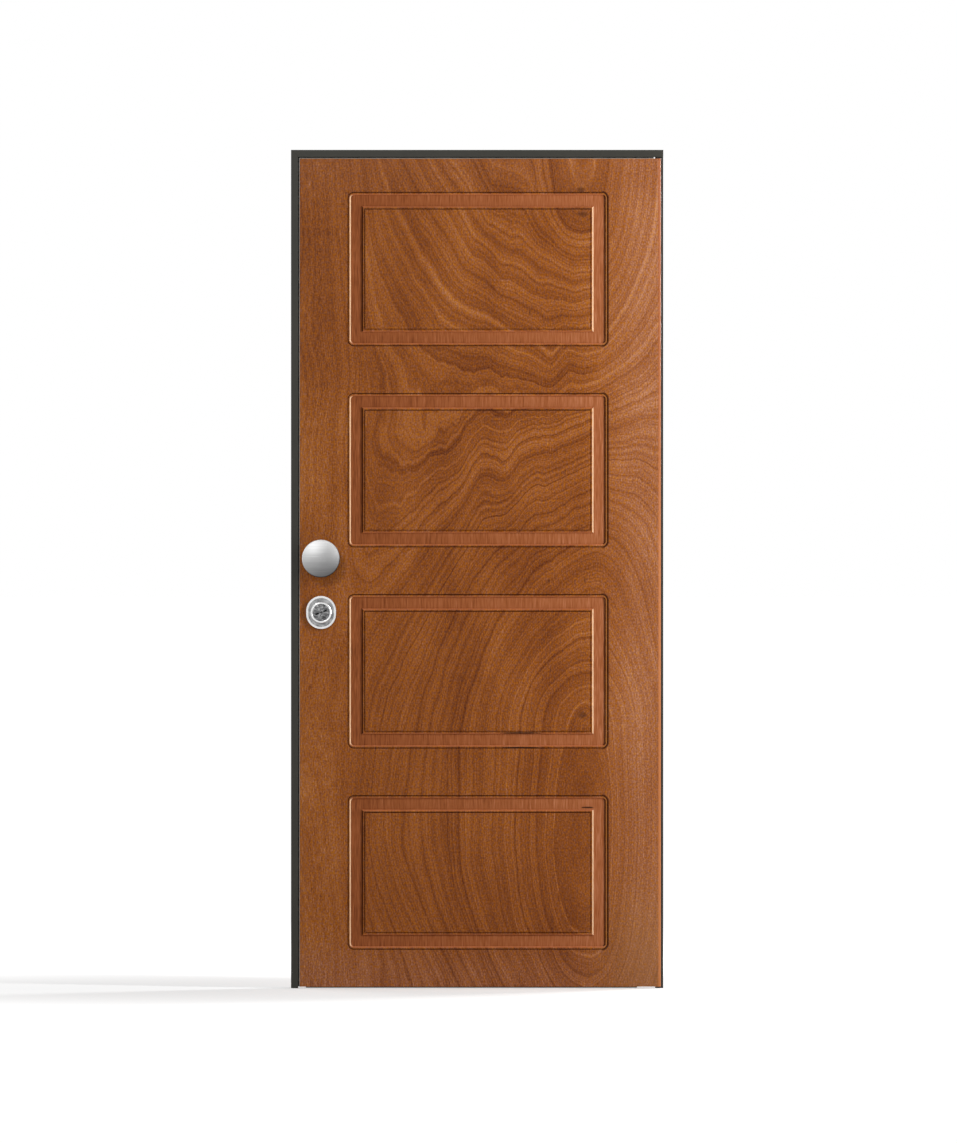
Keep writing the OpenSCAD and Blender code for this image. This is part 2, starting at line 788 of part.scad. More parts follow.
module inner_panel() {
    inset = trim_t + 0.5;
    through = [y_core_back - eps, y_inner_face + eps];
    color("#8a5530")
        difference() {
            block([x_leaf + inset, x_leaf_end - inset], [y_core_back, y_inner_face],
                  [floor_gap + inset, z_leaf_top - inset]);
            euro_hole([y_core_back, y_inner_face], 0.5);
            bar_y(x_lock, through, handle_z, spindle_r + 2);
            leaf_screw_holes(through);
        }
}

// Edge trims

// Stepped section on the lock side and the top: distance from the leaf's edge against depth
module step_section() {
    shoulder = y_shoulder - y_front;
    back = y_leaf_back - y_front;
    rect([shoulder_w, shoulder_w + trim_t], [panel_setback, shoulder + trim_t]);
    rect([0, shoulder_w + trim_t], [shoulder, shoulder + trim_t]);
    rect([0, trim_t], [shoulder, back]);
    rect([0, trim_lip], [back - trim_t, back]);
}

module lock_edge_trim() {
    wall = [x_leaf - eps, x_leaf + trim_t + eps];
    color("#6f736f")
        difference() {
            translate([x_leaf, y_front, floor_gap])
                linear_extrude(z_leaf_top - floor_gap)
                    step_section();
            mitre_side(x_leaf, z_leaf_top, true);
            bolt_holes(wall, all_bolt_zs(), bolt_d / 2 + hole_over / 2);
            latch_hole(wall, hole_over / 2);
        }
}

module top_edge_trim() {
    color("#4a4d47")
        difference() {
            union() {
                translate([x_leaf, y_front, z_leaf_top])
                    rotate([0, 90, 0])
                        linear_extrude(x_leaf_end - x_leaf)
                            step_section();
                block([x_leaf_end - trim_t, x_leaf_end], [y_shoulder, y_leaf_back],
                      [z_leaf_top - trim_lip, z_leaf_top]);
            }
            mitre_side(x_leaf, z_leaf_top, false);
            bar_z(rod_x, bolt_y, [z_leaf_top - trim_t - eps, z_leaf_top + eps],
                  shoot_bolt_d / 2 + hole_over / 2);
        }
}

module hinge_edge_trim() {
    z = [floor_gap, z_leaf_top - trim_lip];
    color("#4a4d47")
        difference() {
            union() {
                block([x_leaf_end - trim_t, x_leaf_end], [y_skin_back, y_leaf_back], z);
                block([x_leaf_end - trim_lip, x_leaf_end], [y_skin_back, y_skin_back + trim_t], z);
                block([x_leaf_end - hinge_lip, x_leaf_end], [y_inner_face, y_leaf_back], z);
            }
            for (dog_z = dog_zs)
                bar_x([x_leaf_end - trim_t - eps, x_leaf_end + eps], bolt_y, dog_z, dog_d / 2 + snug);
            leaf_screw_holes([y_inner_face - eps, y_leaf_back + eps]);
        }
}

module bottom_edge_trim() {
    x = [x_leaf + trim_lip, x_leaf_end - hinge_lip];
    lip_z = [floor_gap, floor_gap + trim_lip];
    color("#4a4d47") {
        block(x, [y_skin_back, y_leaf_back], [floor_gap, floor_gap + trim_t]);
        block(x, [y_skin_back, y_skin_back + trim_t], lip_z);
        block(x, [y_inner_face, y_leaf_back], lip_z);
    }
}

module bottom_seal() {
    middle = (y_skin_back + y_leaf_back) / 2;
    color("#1c1c1c")
        translate([x_leaf + trim_lip, 0, 0])
            rotate([90, 0, 90])
                linear_extrude(x_leaf_end - hinge_lip - x_leaf - trim_lip)
                    polygon([
                        [middle - 9, floor_gap], [middle + 9, floor_gap],
                        [middle + 3, floor_gap / 5], [middle - 3, floor_gap / 5]
                    ]);
}

// Lock

module rod_slot(z) {
    block(about(rod_x, rod_w / 2 + slack), [rod_y[0] - slack, rod_y[1] + slack], z);
}

module lock_case() {
    box_x = [x_case, x_case + case_l];
    box_y = [case_y[0], case_y[1] - case_wall];
    inside = [box_x[0], box_x[1] - case_wall];
    forend = [x_forend - eps, x_case + eps];
    color("#a5a8aa")
        difference() {
            union() {
                block(box_x, box_y, case_z);
                block([x_forend, x_case], case_y, case_z + forend_over * [-1, 1]);
            }
            block(inside, [case_y[0] + case_wall, case_y[1] + eps], case_z + case_wall * [1, -1]);
            bolt_holes(forend, bolt_zs, bolt_d / 2 + slack);
            latch_hole(forend, slack);
            euro_hole([case_y[0], case_y[0] + case_wall], 0.5);
            rod_slot(case_z + eps * [-1, 1]);
        }
}

module lock_cover() {
    y = [case_y[1] - case_wall, case_y[1]];
    color("#b6b9bb")
        difference() {
            block([x_case, x_case + case_l], y, case_z);
            euro_hole(y, 0.5);
            bar_y(x_lock, [y[0] - eps, y[1] + eps], handle_z, spindle_r + 1);
        }
}

module small_bolt_case(middle, rod_z) {
    z = about(middle, small_case_h / 2);
    box_x = [x_case, x_case + small_case_l];
    color("#a5a8aa")
        difference() {
            union() {
                block(box_x, case_y, z);
                block([x_forend, x_case], case_y, z + forend_over * [-1, 1]);
            }
            block([box_x[0], box_x[1] - case_wall], case_y + case_wall * [1, -1], z + case_wall * [1, -1]);
            bolt_holes([x_forend - eps, x_case + eps], small_bolt_zs(middle), bolt_d / 2 + slack);
            rod_slot(rod_z);
        }
}
module upper_bolt_case() { small_bolt_case(upper_case_z, about(upper_case_z, small_case_h)); }
module lower_bolt_case() { small_bolt_case(lower_case_z, [lower_case_z, lower_case_z + small_case_h]); }

module rod_guides() {
    color("#2c2c2c")
        for (z = guide_zs)
            difference() {
                block(about(rod_x, rod_w / 2 + 6), [y_skin_back, rod_y[1] + 4], about(z, 10));
                rod_slot(about(z, 11));
            }
}

module main_bolts() {
    color("#c8cacc")
        for (z = bolt_zs)
            bar_x([x_leaf, x_yoke], bolt_y, z, bolt_d / 2);
}

module bolt_yoke() {
    color("#8f9294")
        block([x_yoke, x_yoke + yoke_t], about(bolt_y, bolt_d / 2 - 1),
              [bolt_zs[0] - bolt_d / 2, bolt_zs[bolt_n - 1] + bolt_d / 2]);
}

module small_bolts(middle) {
    color("#c8cacc")
        union() {
            for (z = small_bolt_zs(middle))
                bar_x([x_leaf, x_yoke + 1], bolt_y, z, bolt_d / 2);
            block([x_yoke, x_yoke + yoke_t], about(bolt_y, bolt_d / 2 - 1),
                  about(middle, bolt_pitch / 2));
        }
}
module upper_bolts() { small_bolts(upper_case_z); }
module lower_bolts() { small_bolts(lower_case_z); }

module rod(z) {
    block(about(rod_x, rod_w / 2), rod_y, z);
}

module upper_rod() {
    head = z_leaf_top - 60;
    color("#9a9ea1")
        union() {
            rod([case_z[1] - 25, head + 20]);
            bar_z(rod_x, bolt_y, [head, z_leaf_top], shoot_bolt_d / 2);
            block(about(rod_x, 5), [rod_y[0], bolt_y], [head, head + 20]);
        }
}

module lower_rod() {
    color("#9a9ea1")
        rod([lower_case_z - 10, case_z[0] + 15]);
}

module latch_bolt() {
    y = about(bolt_y, latch_w / 2);
    z = about(handle_z, latch_h / 2);
    tip = x_leaf - latch_out;
    latch_end = x_leaf + 28;
    tail_z = [handle_z + 10.5, handle_z + 16.5];
    color("#c8cacc")
        union() {
            translate([0, 0, z[0]])
                linear_extrude(latch_h)
                    polygon([
                        [tip, y[0]], [tip, y[0] + 4], [x_leaf, y[1]],
                        [latch_end, y[1]], [latch_end, y[0]]
                    ]);
            block([latch_end - 1, latch_end + 6], about(bolt_y, 3), [handle_z - 5, tail_z[1]]);
            block([latch_end - 1, x_lock - 7], about(bolt_y, 3), tail_z);
        }
}

// Hinge-side dog bolts, riveted through the hinge trim
module dog_bolts() {
    head_t = 3;
    color("#c8cacc")
        for (z = dog_zs) {
            bar_x([x_leaf_end - trim_t, x_leaf_end + dog_out], bolt_y, z, dog_d / 2);
            bar_x([x_leaf_end - trim_t - head_t, x_leaf_end - trim_t], bolt_y, z, dog_d / 2 + 3);
        }
}

// Knob
knob_stud_r = 5;
knob_nut_t = 6;
y_rose = y_face - knob_rose_t;
y_knob = y_face - knob_out; // crown of the knob
crown = 9; // how much higher the crown is than the rim
knob_edge_r = knob_rim / 2;
knob_ring = knob_d / 2 - knob_edge_r; // radius to the middle of the rounded rim
rim_out = knob_out - knob_rose_t - crown - knob_edge_r; // middle of the rim, from the rose
dome_p = knob_edge_r + crown;
dome_r = (pow(knob_ring, 2) + pow(dome_p, 2) - pow(knob_edge_r, 2)) / (2 * crown);
dome_a = asin(knob_ring / (dome_r - knob_edge_r)); // where the crown runs into the rim

// Outline of the knob: a neck that flares into a round-edged, slightly domed head
module knob_outline() {
    back = rim_out - knob_edge_r;
    flare = min(10, back - 2);
    polygon(concat(
        [[0, 0], [knob_neck_r, 0]],
        arc([knob_neck_r + flare, back - flare], flare, 180, 90),
        arc([knob_ring, rim_out], knob_edge_r, -90, 90 - dome_a, 16),
        arc([0, rim_out + dome_p - dome_r], dome_r, 90 - dome_a, 90, 16)
    ));
}

module knob() {
    color("#c3c3c3")
        difference() {
            turned(x_lock, y_rose, handle_z)
                knob_outline();
            bar_y(x_lock, [y_rose - 18, y_rose + eps], handle_z, knob_stud_r + snug);
        }
}

module knob_rose() {
    color("#b5b5b5")
        difference() {
            turned(x_lock, y_face, handle_z)
                polygon([
                    [0, 0], [knob_rose_r, 0], [knob_rose_r, knob_rose_t - 2],
                    [knob_rose_r - 2, knob_rose_t], [0, knob_rose_t]
                ]);
            bar_y(x_lock, [y_rose - eps, y_face + eps], handle_z, knob_stud_r + snug);
        }
}

module knob_stud() {
    color("silver")
        bar_y(x_lock, [y_rose - 17, y_skin_back + knob_nut_t], handle_z, knob_stud_r);
}

module knob_nut() {
    color("silver")
        difference() {
            plate_y(x_lock, [y_skin_back, y_skin_back + knob_nut_t], handle_z)
                circle(r = 9.8, $fn = 6);
            bar_y(x_lock, [y_skin_back - eps, y_skin_back + knob_nut_t + eps], handle_z,
                  knob_stud_r + snug);
        }
}

// Escutcheon and cylinder

// Outline of the escutcheon plate: two round ends with short straight sides between them, inset by a margin
module escutcheon_outline(inset) {
    end_z = (plate_h - plate_w) / 2;
    square([plate_w - 2 * inset, 2 * end_z], center = true);
    for (side = [-1, 1])
        translate([0, side * end_z])
            circle(plate_w / 2 - inset);
}

module plate_screw_holes(y) {
    for (side = [-1, 1])
        bar_y(x_lock, y, cylinder_z + side * plate_screw_z, 3.5);
}

module escutcheon_plate() {
    color("#d5d5d5")
        difference() {
            plate_y(x_lock, [y_plate, y_face], cylinder_z)
                escutcheon_outline(0);
            plate_y(x_lock, [y_plate - eps, y_plate + plate_dish], cylinder_z)
                difference() {
                    escutcheon_outline(plate_rim);
                    circle(collar_r);
                }
            bar_y(x_lock, [y_plate - eps, y_face + eps], cylinder_z, core_r + snug);
            euro_pocket(y_face);
            for (side = [-1, 1])
                bar_y(x_lock, [y_plate + plate_dish + 2, y_face + eps],
                      cylinder_z + side * plate_screw_z, 3 + snug);
        }
}

module escutcheon_collar() {
    bore = disc_r + slack;
    color("#e6e6e6")
        turned(x_lock, y_plate, cylinder_z)
            polygon(concat(
                [[bore, 0], [collar_r, 0]],
                arc([collar_r - 3, collar_t - 3], 3, 0, 90, 8),
                [[bore, collar_t]]
            ));
}

module escutcheon_core() {
    front = disc_y[1] + 0.2;
    color("#77797b")
        difference() {
            bar_y(x_lock, [front, y_panel_back], cylinder_z, core_r);
            euro_pocket(y_panel_back);
            bar_y(x_lock, [front - eps, y_cylinder + eps], cylinder_z, plug_r + slack);
        }
}

module escutcheon_screws() {
    color("silver")
        for (side = [-1, 1]) {
            z = cylinder_z + side * plate_screw_z;
            bar_y(x_lock, [y_plate + 4.5, y_skin_back], z, 3);
            bar_y(x_lock, [y_skin_back, y_skin_back + 4.5], z, 5);
        }
}

module cylinder_body() {
    color("#b9a36a")
        difference() {
            plate_y(x_lock, [y_cylinder, y_cylinder_end], cylinder_z)
                euro_section();
            bar_y(x_lock, [y_cylinder - eps, y_cylinder_end + eps], cylinder_z, plug_r + 2 * snug);
            bar_y(x_lock, about(cam_y, cam_t / 2 + slack), cylinder_z, cam_r + slack);
        }
}

module cylinder_plug() {
    color("#8d8f91")
        union() {
            bar_y(x_lock, [disc_y[1], cam_y], cylinder_z, plug_r);
            bar_y(x_lock, about(cam_y, cam_t / 2), cylinder_z, plug_r + 2);
            block(about(x_lock, 4), about(cam_y, cam_t / 2), [cylinder_z, cylinder_z + cam_r - 1]);
        }
}

module guard_disc() {
    color("#5b5d5f")
        difference() {
            bar_y(x_lock, disc_y, cylinder_z, disc_r);
            plate_y(x_lock, [disc_y[0] - eps, disc_y[1] - 1.2], cylinder_z)
                rotate(slot_tilt) {
                    difference() {
                        square([1.4 * disc_r, slot_w], center = true);
                        circle(slot_boss_r);
                    }
                    square([1.3 * slot_boss_r, slot_w / 2], center = true);
                }
        }
}

module inner_escutcheon() {
    y = [y_inner_face, y_inner_face + 6];
    color("#b5b5b5")
        difference() {
            plate_y(x_lock, y, cylinder_z - 6)
                round_rect(44, 64, 20);
            euro_hole(y, 0.5);
        }
}

module thumb_turn() {
    y = y_cylinder_end;
    color("#b5b5b5")
        union() {
            bar_y(x_lock, [cam_y + cam_t / 2, y + 6], cylinder_z, plug_r);
            bar_y(x_lock, [y + 4, y + 10], cylinder_z, 15);
            block(about(x_lock, 4.5), [y + 8, y + 26], about(cylinder_z, 13));
        }
}

// Lever handle on the inside
spindle_r = 8 / sqrt(2); // half the diagonal of the 8 mm square spindle
y_lever_rose = y_inner_face + rose_t;
y_grip = y_lever_rose + lever_clear;
follower_r = 14;
follower_y = [bolt_y - 8, case_y[1] - case_wall - 0.5];

module handle_rose() {
    color("#b5b5b5")
        difference() {
            bar_y(x_lock, [y_inner_face, y_lever_rose], handle_z, rose_r);
            bar_y(x_lock, [y_inner_face - eps, y_lever_rose + eps], handle_z, lever_h / 2 + slack);
        }
}

module lever_handle() {
    hub_r = lever_h / 2;
    color("#bdbdbd")
        difference() {
            union() {
                bar_y(x_lock, [y_inner_face + 2, y_grip + lever_t], handle_z, hub_r);
                plate_y(x_lock, [y_grip, y_grip + lever_t], handle_z) {
                    translate([0, -hub_r])
                        square([lever_l - hub_r, lever_h]);
                    translate([lever_l - hub_r, 0])
                        circle(hub_r);
                }
            }
            spindle_hole([y_inner_face, y_grip - 3]);
        }
}

module spindle_hole(y) {
    plate_y(x_lock, y, handle_z)
        square(8 + 2 * snug, center = true);
}

module handle_spindle() {
    color("#8d8f91")
        plate_y(x_lock, [follower_y[0] + 1, y_grip - 4], handle_z)
            square(8, center = true);
}

module latch_follower() {
    color("#8d8f91")
        difference() {
            union() {
                bar_y(x_lock, follower_y, handle_z, 10);
                block(about(x_lock, 3), follower_y, [handle_z, handle_z + follower_r + 6]);
            }
            spindle_hole([follower_y[0] - eps, follower_y[1] + eps]);
        }
}

lock_jamb();
hinge_jamb();
frame_head();
main_strike_plate();
upper_strike_plate();
lower_strike_plate();
strike_screws();
lock_jamb_seal();
head_seal();
hinge_jamb_seal();
upper_hinge_bracket();
lower_hinge_bracket();
upper_hinge_pin();
lower_hinge_pin();
hinge_washers();
bracket_screws();
outer_panel();
steel_skin();
stiffeners();
insulation();
inner_panel();
lock_edge_trim();
hinge_edge_trim();
top_edge_trim();
bottom_edge_trim();
bottom_seal();
lock_case();
lock_cover();
upper_bolt_case();
lower_bolt_case();
rod_guides();
dog_bolts();
upper_hinge_leaf();
lower_hinge_leaf();
hinge_leaf_screws();
hinge_caps();
knob();
knob_rose();
knob_stud();
knob_nut();
escutcheon_plate();
escutcheon_collar();
escutcheon_core();
escutcheon_screws();
cylinder_body();
inner_escutcheon();
handle_rose();
main_bolts();
bolt_yoke();
upper_bolts();
lower_bolts();
upper_rod();
lower_rod();
latch_bolt();
lever_handle();
handle_spindle();
latch_follower();
guard_disc();
cylinder_plug();
thumb_turn();
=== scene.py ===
"""The looks of a panelled front door in its steel frame: wood, paint, metal, rubber, light and camera."""

import math

import bpy
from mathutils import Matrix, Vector


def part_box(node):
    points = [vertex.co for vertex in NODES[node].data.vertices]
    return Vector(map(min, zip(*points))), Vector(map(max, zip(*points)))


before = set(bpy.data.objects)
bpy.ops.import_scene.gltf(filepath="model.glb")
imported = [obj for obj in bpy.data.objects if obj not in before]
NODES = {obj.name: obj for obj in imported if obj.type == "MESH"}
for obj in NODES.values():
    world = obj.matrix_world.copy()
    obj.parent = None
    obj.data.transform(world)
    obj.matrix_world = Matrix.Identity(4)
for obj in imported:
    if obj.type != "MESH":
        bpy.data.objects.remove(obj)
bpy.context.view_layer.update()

# Places that the looks are worked out from, in metres
PANEL_LOW, PANEL_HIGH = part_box("outer_panel")
WOOD_FACE = PANEL_LOW.y
PLATE_LOW, PLATE_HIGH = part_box("escutcheon_plate")
GUARD_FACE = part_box("guard_disc")[0].y
KNOB = sum(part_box("knob"), Vector()) / 2

# The channels that are routed about the raised fields
CHANNEL_DEPTH = 0.006
CHANNEL_WIDTH = 0.0445
CHANNEL_CORNER = 0.016
FIELD_COUNT = 4
FIELD_RAIL = 0.118
MARGIN_RIGHT = 0.134
MARGIN_FOOT = 0.0935
MARGIN_HEAD = 0.084
FIELD_RIGHT = PANEL_HIGH.x - MARGIN_RIGHT
FIELD_FOOT = PANEL_LOW.z + MARGIN_FOOT
FIELD_PITCH = (PANEL_HIGH.z - MARGIN_HEAD - FIELD_FOOT + FIELD_RAIL) / FIELD_COUNT
FIELD_SPANS = [
    (FIELD_FOOT + i * FIELD_PITCH, FIELD_FOOT + (i + 1) * FIELD_PITCH - FIELD_RAIL)
    for i in range(FIELD_COUNT)
]

# The solids whose edges catch the light, by the width of their rounding
ROUNDED_EDGES = (
    (0.0006, ("escutcheon_plate", "escutcheon_collar", "guard_disc", "knob_rose")),
    (0.0005, ("lever_handle", "handle_rose", "inner_escutcheon", "thumb_turn")),
    (0.0003, ("main_strike_plate", "upper_strike_plate", "lower_strike_plate", "latch_bolt")),
    (0.0005, ("main_bolts", "upper_bolts", "lower_bolts", "dog_bolts")),
)


def srgb(red, green, blue):
    """A colour as it shows on a screen, 0 to 255, as the linear colour that a shader takes."""
    def linear(level):
        share = level / 255
        return share / 12.92 if share <= 0.04045 else ((share + 0.055) / 1.055) ** 2.4
    return (linear(red), linear(green), linear(blue), 1.0)


class Field:
    """A number at every point of a surface, held as the output of a shader node."""

    def __init__(self, tree, socket):
        self.tree = tree
        self.socket = socket

    def math(self, operation, *others):
        """This field put through a math node with other fields or numbers."""
        node = self.tree.nodes.new("ShaderNodeMath")
        node.operation = operation
        for slot, value in enumerate((self,) + others):
            if isinstance(value, Field):
                self.tree.links.new(value.socket, node.inputs[slot])
            else:
                node.inputs[slot].default_value = value
        return Field(self.tree, node.outputs[0])

    def __add__(self, other):
        return self.math("ADD", other)

    def __sub__(self, other):
        return self.math("SUBTRACT", other)

    def __mul__(self, other):
        return self.math("MULTIPLY", other)

    def __truediv__(self, other):
        return self.math("DIVIDE", other)

    def __pow__(self, other):
        return self.math("POWER", other)

    def step(self, low, high):
        """0 below low, 1 above high, and smooth between them; turned about where low is the higher."""
        node = self.tree.nodes.new("ShaderNodeMapRange")
        node.interpolation_type = "SMOOTHSTEP"
        self.tree.links.new(self.socket, node.inputs["Value"])
        node.inputs["From Min"].default_value = min(low, high)
        node.inputs["From Max"].default_value = max(low, high)
        node.inputs["To Min"].default_value = 0 if low < high else 1
        node.inputs["To Max"].default_value = 1 if low < high else 0
        return Field(self.tree, node.outputs["Result"])

    def band(self, low, full_low, full_high, high):
        """1 from full_low to full_high, 0 below low and above high, and smooth between them."""
        return self.step(low, full_low) * self.step(high, full_high)

    def span(self, at_zero, at_one):
        """The field stretched, so that 0 becomes at_zero and 1 becomes at_one."""
        return self * (at_one - at_zero) + at_zero


class Surface:
    """One material under way: its node tree, its shader and the object's own coordinates."""

    def __init__(self, name, **shader_values):
        self.material = bpy.data.materials.new(name)
        self.material.use_nodes = True
        self.tree = self.material.node_tree
        self.shader = self.tree.nodes["Principled BSDF"]
        for socket, value in shader_values.items():
            self.shader.inputs[socket.replace("_", " ")].default_value = value
        self.x, self.y, self.z = self.coordinates("Object")

    def coordinates(self, kind):
        """The three parts of a place ("Object") or a direction ("Normal") in the object's axes."""
        source = self.tree.nodes.new("ShaderNodeTexCoord")
        split = self.tree.nodes.new("ShaderNodeSeparateXYZ")
        self.tree.links.new(source.outputs[kind], split.inputs[0])
        return tuple(Field(self.tree, split.outputs[axis]) for axis in "XYZ")

    def noise(self, cell, detail=2.0, roughness=0.5, twist=0.0, shift=0.0):
        """Noise about 0, from about -0.5 to 0.5, with lumps of the given size (x, y, z) in metres."""
        join = self.tree.nodes.new("ShaderNodeCombineXYZ")
        for slot, (axis, size) in enumerate(zip((self.x, self.y, self.z), cell)):
            scaled = axis * (1 / size) + shift
            self.tree.links.new(scaled.socket, join.inputs[slot])
        node = self.tree.nodes.new("ShaderNodeTexNoise")
        self.tree.links.new(join.outputs[0], node.inputs["Vector"])
        node.inputs["Distortion"].default_value = twist
        return self.noise_output(node, detail, roughness)

    def noise_along(self, value, detail=2.0, roughness=0.5):
        """Noise about 0 along one field, with lumps of size 1."""
        node = self.tree.nodes.new("ShaderNodeTexNoise")
        node.noise_dimensions = "1D"
        self.tree.links.new(value.socket, node.inputs["W"])
        return self.noise_output(node, detail, roughness)

    def noise_output(self, node, detail, roughness):
        """Sets how fine a noise node is, and moves its output from about 0.5 to about 0."""
        node.inputs["Scale"].default_value = 1
        node.inputs["Detail"].default_value = detail
        node.inputs["Roughness"].default_value = roughness
        return Field(self.tree, node.outputs[0]) - 0.5

    def hill(self, x, z, half_w, half_h):
        """A smooth hill of height 1 at one place on the face."""
        across = ((self.x - x) * (1 / half_w)) ** 2
        along = ((self.z - z) * (1 / half_h)) ** 2
        return ((across + along) * -1).math("EXPONENT")

    def hill_end(self, x, z, half_w, fall):
        """The round end of a long hill of height 1: it falls away above z, or below if fall is negative."""
        across = ((self.x - x) * (1 / half_w)) ** 2
        beyond = ((self.z - z) * (1 / fall)).math("MAXIMUM", 0.0) ** 2
        return ((across + beyond) * -1).math("EXPONENT")

    def ramp(self, value, stops):
        """A colour that follows value through (place, colour) stops."""
        node = self.tree.nodes.new("ShaderNodeValToRGB")
        self.tree.links.new(value.socket, node.inputs[0])
        points = node.color_ramp.elements
        while len(points) < len(stops):
            points.new(0.5)
        for point, (place, colour) in zip(points, stops):
            point.position = place
            point.color = colour
        return node.outputs[0]

    def mix(self, share, first, second):
        """Two colours mixed by a field; a colour is a socket or four numbers."""
        node = self.tree.nodes.new("ShaderNodeMix")
        node.data_type = "RGBA"
        self.tree.links.new(share.socket, node.inputs[0])
        for socket, colour in ((node.inputs[6], first), (node.inputs[7], second)):
            if isinstance(colour, tuple):
                socket.default_value = colour
            else:
                self.tree.links.new(colour, socket)
        return node.outputs[2]

    def colour(self, socket):
        self.tree.links.new(socket, self.shader.inputs["Base Color"])

    def roughness(self, field):
        self.tree.links.new(field.socket, self.shader.inputs["Roughness"])

    def bump(self, height, depth, edge_radius=0.0):
        """Fine relief from a field about 0 to 1, depth metres high; edge_radius lets edges look rounded."""
        node = self.tree.nodes.new("ShaderNodeBump")
        node.inputs["Distance"].default_value = depth
        if edge_radius:
            edge = self.tree.nodes.new("ShaderNodeBevel")
            edge.samples = 6
            edge.inputs["Radius"].default_value = edge_radius
            self.tree.links.new(edge.outputs[0], node.inputs["Normal"])
        self.tree.links.new(height.socket, node.inputs["Height"])
        self.tree.links.new(node.outputs[0], self.shader.inputs["Normal"])


def from_ridge_line(wood):
    """How far right of the sheet's ridge a place is; the ridge's upper left leans over."""
    ridge_x = 0.290
    lean, lean_z = 0.5, 1.70
    leaning = wood.x.step(0.26, 0.02) * wood.z.step(1.36, 1.60) * lean
    return wood.x - ridge_x + (wood.z - lean_z) * leaning


def ridge_height(wood, from_ridge):
    """A long ridge, steeper at the right, that ends at the margin beside the lock."""
    reach_left, reach_right = 0.48, 0.235
    ring_count = 15.0
    fall = -1.2
    margin_start, margin_end = -0.49, -0.24
    right_of = from_ridge.math("GREATER_THAN", 0.0)
    reach = right_of.span(reach_left, reach_right)
    height = ((from_ridge / reach) ** 2 + 1) ** fall * ring_count
    return height * wood.x.step(margin_start, margin_end)


def ridge_side(wood):
    """From 1 on the upper ridge to -1 on the lower one, across a slanting line that dives at the left."""
    line_z, slope, dive, bend, width = 1.315, 0.33, 1.1, 0.07, 0.36
    drop = ((wood.x ** 2 + bend ** 2).math("SQRT") - wood.x) * (dive / 2)
    return ((wood.z - line_z - wood.x * slope + drop) * (1 / width)).math("TANH")


def ridge_closing(wood, from_ridge, side):
    """How much of the ridge is left: all of the upper one, and less of the lower one towards the foot."""
    foot_z, slope, bend, width = -0.03, 0.55, 0.076, 0.17
    half_loss = 0.275
    from_axis = (from_ridge ** 2 + bend ** 2).math("SQRT")
    end = (wood.z - (from_axis - bend) * slope - foot_z) * (1 / width)
    closing = end.math("TANH") * half_loss + (1 - half_loss)
    lower = side.math("LESS_THAN", 0.0)
    return closing * lower + lower.span(1, 0)


def growth_rings(wood):
    """The height whose contour lines are the growth rings cut by the veneer knife."""
    from_ridge = from_ridge_line(wood)
    side = ridge_side(wood)
    rings = ridge_height(wood, from_ridge) * side * ridge_closing(wood, from_ridge, side)

    # The upper heart, the arcs of the third field and the lower heart
    rings = rings + wood.hill_end(x=0.266, z=1.985, half_w=0.100, fall=-0.150) * 3.2
    rings = rings - wood.hill_end(x=0.275, z=0.665, half_w=0.230, fall=0.190) * 4.2
    rings = rings - wood.hill(x=0.267, z=0.405, half_w=0.086, half_h=0.303) * 2.6

    # The waves across the second field, and a fold below the first one
    wave_start, wave_rate = 0.005, 47.0
    wave = ((wood.x - wave_start) * wave_rate - math.pi / 2).math("SINE")
    rings = rings + wave * wood.hill(x=0.055, z=1.290, half_w=0.120, half_h=0.150) * 0.75
    rings = rings - wood.hill(x=0.227, z=1.586, half_w=0.028, half_h=0.114) * 0.7
    rings = rings + wood.hill(x=0.181, z=1.586, half_w=0.030, half_h=0.114) * 0.5

    # The swirl high in the left margin, and that margin's own slope from end to end
    swirl_slope, swirl_rate = 0.9, 15.2
    end_to_end = 30.0
    swirl = ((wood.x - wood.z * swirl_slope) * swirl_rate).math("SINE")
    rings = rings + swirl * wood.hill(x=-0.402, z=1.548, half_w=0.086, half_h=0.151) * 0.35
    rings = rings - wood.hill(x=-0.470, z=1.0, half_w=0.16, half_h=end_to_end) * side * 4.0

    # The lines wander, and most of all about the waves
    rings = rings + wood.noise((0.086, 1.0, 0.227), detail=1.0) * 0.9
    wiggle = wood.hill(x=0.10, z=1.38, half_w=0.40, half_h=0.26) * 0.45 + 0.22
    return rings + wood.noise((0.023, 1.0, 0.086), detail=1.0) * wiggle


